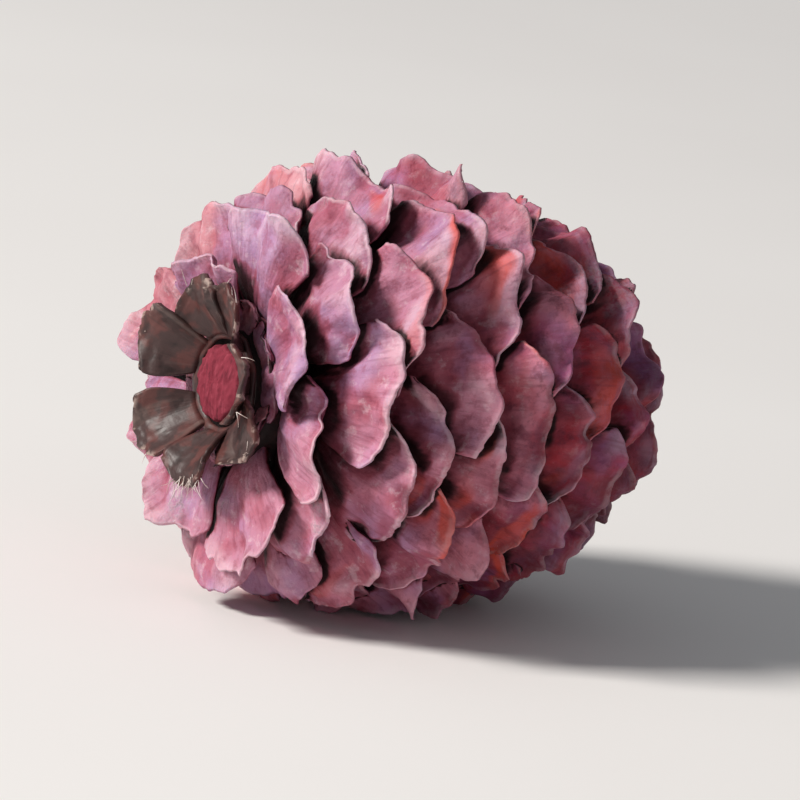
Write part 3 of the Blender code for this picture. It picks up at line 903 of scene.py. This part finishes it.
def bract_shape(tree, size, seat, u, v, side):
    """One bract: the solids' own blade, thinner, crumpled and torn at its end."""
    across = v * seat["half_width"]
    chance = seat["chance"] * CHANCE_STEP
    from_root = u * seat["length"]
    place = add_node(tree, "ShaderNodeCombineXYZ", {0: across, 1: from_root, 2: chance * MM}).outputs[0]
    at_rim = add_node(tree, "ShaderNodeCombineXYZ", {0: across, 1: chance * MM}).outputs[0]
    tear, crumple = (
        add_node(tree, "ShaderNodeTexNoise", {"Vector": at, "Scale": 1.0 / wide, "Detail": 2.0}).outputs[0]
        for at, wide in ((at_rim, 0.8 * MM), (place, 1.4 * MM))
    )
    tear, crumple = Field(tear).passing(0.45, 0.7), Field(crumple) - 0.5

    cut_back = (v.math("ABSOLUTE") - size["Tip Flat"]) / (1.0 - size["Tip Flat"])
    rounding = size["Tip Rounding"] * cut_back.math("MAXIMUM", 0.0)
    reach = seat["length"] * u * (1.0 - rounding + seat["slant"] * v)
    reach -= tear * size["Tear Depth"] * u ** size["Tear Growth"]
    radius = STUB_RADIUS + CLEARANCE + size["Root Inset"] + reach
    rise = seat["rise"] * (0.5 * math.pi * u).math("SINE") + size["Cup"] * v * v * u
    relief = crumple * size["Crumple"] * u
    rise += relief
    x = CORE_START - CLEARANCE - 0.5 * BRACT_RING_DEPTH - rise - side * 0.5 * size["Thickness"]
    opened = (0.5 * math.pi * (u / size["Shoulder At"]).math("MINIMUM", 1.0)).math("SINE")
    spread = size["Root Share"] * (1.0 - opened) + opened
    px, py, pz = lying(tree, x, radius, seat["angle"] + v * seat["half_width"] * spread / radius)
    return across, from_root, relief, add_node(tree, "ShaderNodeCombineXYZ", {0: px, 1: py, 2: pz}).outputs[0]


def leathery_bract():
    """A dead bud scale: leathery brown skin with a dull wax gloss, paler and frayed at its edges."""
    material, tree, shader, place = finish("leathery_brown_bract", roughness=0.45, specular_ior_level=0.45)
    reach = Field(add_node(tree, "ShaderNodeAttribute", attribute_name="reach").outputs["Fac"])
    grain = add_node(tree, "ShaderNodeAttribute", attribute_name="grain").outputs["Vector"]
    stretch = {"Vector": grain, "Scale": (1.0, 0.12, CHANCE_STEP)}
    lengthwise = add_node(tree, "ShaderNodeMapping", stretch).outputs[0]

    # The real veins are about 0.1 mm wide, and are drawn three times as coarse, so they show.
    patterns = (
        {"Vector": lengthwise, "Scale": 1.0 / (0.3 * MM), "Detail": 2.0},
        {"Vector": place, "Scale": 1.0 / (1.6 * MM), "Detail": 3.0},
        {"Vector": lengthwise, "Scale": 1.0 / (1.3 * MM), "Detail": 1.0},
        {"Vector": place, "Scale": 1.0 / (0.7 * MM), "Detail": 4.0},
    )
    veins, blotch, pale_streak_and_highlight, flakes = (
        Field(add_node(tree, "ShaderNodeTexNoise", pattern).outputs[0]) for pattern in patterns
    )
    colour = painted(
        tree,
        linear("#412c2b"),
        [
            (blotch.passing(0.48, 0.6) * 0.7, linear("#643632")),
            # Pale streaks, partly a painted highlight on glossy facets of the bracts.
            (pale_streak_and_highlight.passing(0.56, 0.68) * 0.5, linear("#79655f")),
            (veins.passing(0.5, 0.7) * 0.3, linear("#211816")),
            (blotch.passing(0.42, 0.32) * 0.6, linear("#1f1413")),
            (reach.passing(0.8, 1.0) * flakes.passing(0.54, 0.64) * 0.7, linear("#b8a298")),
        ],
    )
    tree.links.new(colour, shader.inputs["Base Color"])
    roughness = 0.32 + blotch * 0.3
    tree.links.new(roughness.socket, shader.inputs["Roughness"])
    height = veins * 0.35 + flakes * 0.6 + blotch * 0.8
    bump = add_node(tree, "ShaderNodeBump", {"Height": height, "Strength": 0.6, "Distance": 0.1 * MM})
    tree.links.new(bump.outputs[0], shader.inputs["Normal"])
    return material


def pale_fibre():
    """Torn bast: the pale, dry fibres that a bract's skin leaves where it has split."""
    material, tree, shader, place = finish("pale_bast_fibre", roughness=0.7)
    shade = add_node(tree, "ShaderNodeTexNoise", {"Vector": place, "Scale": 1.0 / (0.8 * MM)}).outputs[0]
    colour = painted(tree, linear("#b9a59d"), [(Field(shade).passing(0.4, 0.6), linear("#e6dcd6"))])
    tree.links.new(colour, shader.inputs["Base Color"])
    return material


bract_finish = leathery_bract()
bracts = grow_blades(
    "bract_blades", bract_seats(), BRACT_SIZES, BRACT_ROWS, BRACT_COLUMNS, bract_shape, bract_finish
)
ring_middle = STUB_RADIUS + CLEARANCE + 0.5 * BRACT_RING_WALL
ring_depth_at = CORE_START - CLEARANCE - 0.5 * BRACT_RING_DEPTH
ring_rings = []
for turn in (2.0 * math.pi * i / BRACT_RING_ROUNDS for i in range(BRACT_RING_ROUNDS)):
    x = ring_depth_at + BRACT_RING_WORN - (0.5 * BRACT_RING_DEPTH - BRACT_RING_WORN) * math.sin(turn)
    radius = ring_middle + 0.5 * BRACT_RING_WALL * math.cos(turn)
    points = [around_axis(x, radius, 2.0 * math.pi * i / CORE_SIDES) for i in range(CORE_SIDES)]
    ring_rings.append([p + Vector((BRACT_RING_LUMP * noise.noise(p / MM), 0.0, 0.0)) for p in points])
bract_ring = ring_mesh("bract_ring", ring_rings[::-1], bract_finish, looped=True)

# Fibres stand out of the bracts' torn tips, most of them from the lowest one.
fibre_draw = random.Random(SEED + 2)
fibre_lines = bpy.data.curves.new("bract_fibre_lines", "CURVE")
fibre_lines.dimensions = "3D"
fibre_lines.bevel_depth = FIBRE_RADIUS
fibre_lines.bevel_resolution = 1
fibre_lines.use_fill_caps = True
for seat in bract_seats():
    tuft = LOWEST_FIBRES if math.cos(seat["angle"]) < POINTS_DOWN else OTHER_FIBRES
    for fibre in range(tuft):
        share = fibre_draw.uniform(-FIBRE_SPREAD, FIBRE_SPREAD)
        start = STUB_RADIUS + CLEARANCE + seat["length"] * fibre_draw.uniform(*FIBRE_START_RANGE)
        x = ring_depth_at - seat["rise"] - FIBRE_PROUD
        angle = seat["angle"] + share * seat["half_width"] / start
        length = fibre_draw.uniform(*FIBRE_LENGTH_RANGE)
        turn, lift = fibre_draw.uniform(-FIBRE_TURN, FIBRE_TURN), fibre_draw.uniform(*FIBRE_LIFT_RANGE)
        line = fibre_lines.splines.new("POLY")
        line.points.add(FIBRE_STEPS)
        for step, point in enumerate(line.points):
            gone = length * step / FIBRE_STEPS
            bent = turn * (1.0 + FIBRE_BEND * step / FIBRE_STEPS)
            out, round_axis = gone * math.cos(bent), gone * math.sin(bent)
            spot = around_axis(x + lift * gone, start + out, angle + round_axis / start)
            point.co = (*(laid_down @ spot), 1.0)
            point.radius = 1.0 - FIBRE_THINNING * step / FIBRE_STEPS
fibre_grower = placed("bract_fibre_grower", fibre_lines)
fibre_mesh = plain_mesh("bract_fibres", fibre_grower)
bpy.data.objects.remove(fibre_grower)
fibre_mesh.materials.clear()
fibre_mesh.materials.append(pale_fibre())
bract_fibres = placed("bract_fibres", fibre_mesh)
for piece in (bracts, bract_ring, bract_fibres):
    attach(piece, "root")
    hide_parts("basal_bracts")


# The stalk stub. The stalk snapped off where it enters the cone, and left a short peg of soft wood,
# its broken end fibrous and domed with wear. It took up more dye than anything else on the cone.
STUB_OUTER_END = 0.0
STUB_DOME = 0.45 * MM
STUB_FRAY = 0.16 * MM
STUB_WORN = 0.7 * MM
STUB_WORN_TURNS = 2.2
STUB_SIDES = 96

# The peg's side, as places along the axis and shares of its radius, from its inner end outwards.
STUB_SHAFT = ((1.2 * MM, 1.0), (0.9 * MM, 1.01), (0.6 * MM, 1.0), (0.45 * MM, 0.97))
STUB_FACE_RINGS = 22
STUB_FACE_SHARE = 0.95


def stub_end(share, turn):
    """Where the broken end lies along the axis, at a share of the radius and an angle."""
    fibres_across, fibres_along = 8.0, 1.8
    place = Vector((share * math.sin(turn) * fibres_across, share * math.cos(turn) * fibres_along, 0.0))
    return STUB_OUTER_END + STUB_DOME * share**3.0 + STUB_FRAY * noise.fractal(place, 0.8, 2.0, 4)


def fibrous_stub():
    """Broken conifer wood: short matte fibres, dyed deep crimson, with paler splintered ends."""
    material, tree, shader, place = finish("fibrous_crimson_stub", roughness=0.85, specular_ior_level=0.25)
    upright = add_node(tree, "ShaderNodeMapping", {"Vector": place, "Scale": (1.0, 1.0, 0.2)}).outputs[0]

    # The real fibres are about 0.05 mm wide, and are drawn four times as coarse, so they show.
    fibres, blotch = (
        add_node(tree, "ShaderNodeTexNoise", {"Vector": at, "Scale": 1.0 / wide, "Detail": 3.0}).outputs[0]
        for at, wide in ((upright, 0.22 * MM), (place, 0.9 * MM))
    )
    fibres, blotch = Field(fibres), Field(blotch)
    colour = painted(
        tree,
        linear("#822d3d"),
        [
            (blotch.passing(0.5, 0.7) * 0.7, linear("#6a2130")),
            (fibres.passing(0.52, 0.7) * 0.5, linear("#a24858")),
            (fibres.passing(0.42, 0.3) * 0.6, linear("#4a1722")),
        ],
    )
    tree.links.new(colour, shader.inputs["Base Color"])
    bump = add_node(tree, "ShaderNodeBump", {"Height": fibres, "Strength": 0.8, "Distance": 0.06 * MM})
    tree.links.new(bump.outputs[0], shader.inputs["Normal"])
    return material


stub_turns = [2.0 * math.pi * i / STUB_SIDES for i in range(STUB_SIDES)]
worn = [abs(noise.noise(around_axis(0.0, STUB_WORN_TURNS, turn))) for turn in stub_turns]
stub_outline = [(turn, STUB_RADIUS - STUB_WORN * share) for turn, share in zip(stub_turns, worn)]
stub_rings = []
for x, share in STUB_SHAFT:
    stub_rings.append([around_axis(x, radius * share, turn) for turn, radius in stub_outline])
for ring in range(STUB_FACE_RINGS):
    share = STUB_FACE_SHARE * (1.0 - ring / STUB_FACE_RINGS)
    stub_rings.append(
        [around_axis(stub_end(share, turn), radius * share, turn) for turn, radius in stub_outline]
    )
stub = ring_mesh("broken_stalk_stub", stub_rings[::-1], fibrous_stub())
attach(stub, "root")
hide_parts("stalk_stub")


# The studio: a pale matte floor, one soft light from the upper left, and a weak fill from the sky.
# The camera has the photograph's angle on the cone, from its stalk end and a little above, and is
# rolled, because the cone's axis lies almost level in the photograph.
CAMERA_AZIMUTH = math.radians(-35.0)
CAMERA_ELEVATION = math.radians(12.0)
CAMERA_ROLL = math.radians(8.0)
CAMERA_LENS = 300.0
CAMERA_DISTANCE = 445.0 * MM
TARGET_DROP = 1.5 * MM
FLOOR_HALF = 1.5
FLOOR_CLOUD = 60.0 * MM
SKY_STRENGTH = 0.27
KEY_BACK = 0.62
KEY_UP = 0.8
KEY_LEFT = 1.15
KEY_DISTANCE = 1.2
KEY_SIZE = 0.26
KEY_POWER = 16.5

floor_finish, floor_tree, floor_shader, floor_place = finish("pale_matte_floor", roughness=0.9)
cloud = add_node(floor_tree, "ShaderNodeTexNoise", {"Vector": floor_place, "Scale": 1.0 / FLOOR_CLOUD})
floor_colour = painted(floor_tree, linear("#f3f1f0"), [(cloud.outputs[0], linear("#faf9f8"))])
floor_tree.links.new(floor_colour, floor_shader.inputs["Base Color"])
floor_mesh = bpy.data.meshes.new("floor")
corners = ((-1.0, -1.0), (1.0, -1.0), (1.0, 1.0), (-1.0, 1.0))
floor_mesh.from_pydata([(x * FLOOR_HALF, y * FLOOR_HALF, 0.0) for x, y in corners], [], [(0, 1, 2, 3)])
floor_mesh.materials.append(floor_finish)
floor = placed("floor", floor_mesh)

sky = bpy.data.worlds.new("studio_sky")
bpy.context.scene.world = sky
sky.use_nodes = True
sky.node_tree.nodes["Background"].inputs["Color"].default_value = linear("#eef0f4")
sky.node_tree.nodes["Background"].inputs["Strength"].default_value = SKY_STRENGTH
bpy.context.scene.view_settings.view_transform = "Standard"

low_corner, high_corner = solid_box
target = 0.5 * (Vector(low_corner) + Vector(high_corner)) - Vector((0.0, 0.0, TARGET_DROP))
level = math.cos(CAMERA_ELEVATION)
back_way = Vector(
    (math.sin(CAMERA_AZIMUTH) * level, -math.cos(CAMERA_AZIMUTH) * level, math.sin(CAMERA_ELEVATION))
)
right_way = Vector((0.0, 0.0, 1.0)).cross(back_way).normalized()
up_way = back_way.cross(right_way)

key_way = KEY_BACK * back_way + KEY_UP * up_way - KEY_LEFT * right_way
key_data = bpy.data.lights.new("key_light", "AREA")
key_data.size = KEY_SIZE
key_data.energy = KEY_POWER
key_data.color = linear("#fffaf4")[:3]
key_light = placed("key_light", key_data)
key_light.location = target + key_way.normalized() * KEY_DISTANCE
key_light.rotation_euler = key_way.to_track_quat("Z", "Y").to_euler()

camera_data = bpy.data.cameras.new("camera")
camera_data.lens = CAMERA_LENS
camera_data.clip_start = 0.01
camera = placed("camera", camera_data)
camera.location = target + back_way * CAMERA_DISTANCE
roll = Euler((0.0, 0.0, CAMERA_ROLL)).to_matrix()
camera.rotation_euler = (back_way.to_track_quat("Z", "Y").to_matrix() @ roll).to_euler()
bpy.context.scene.camera = camera
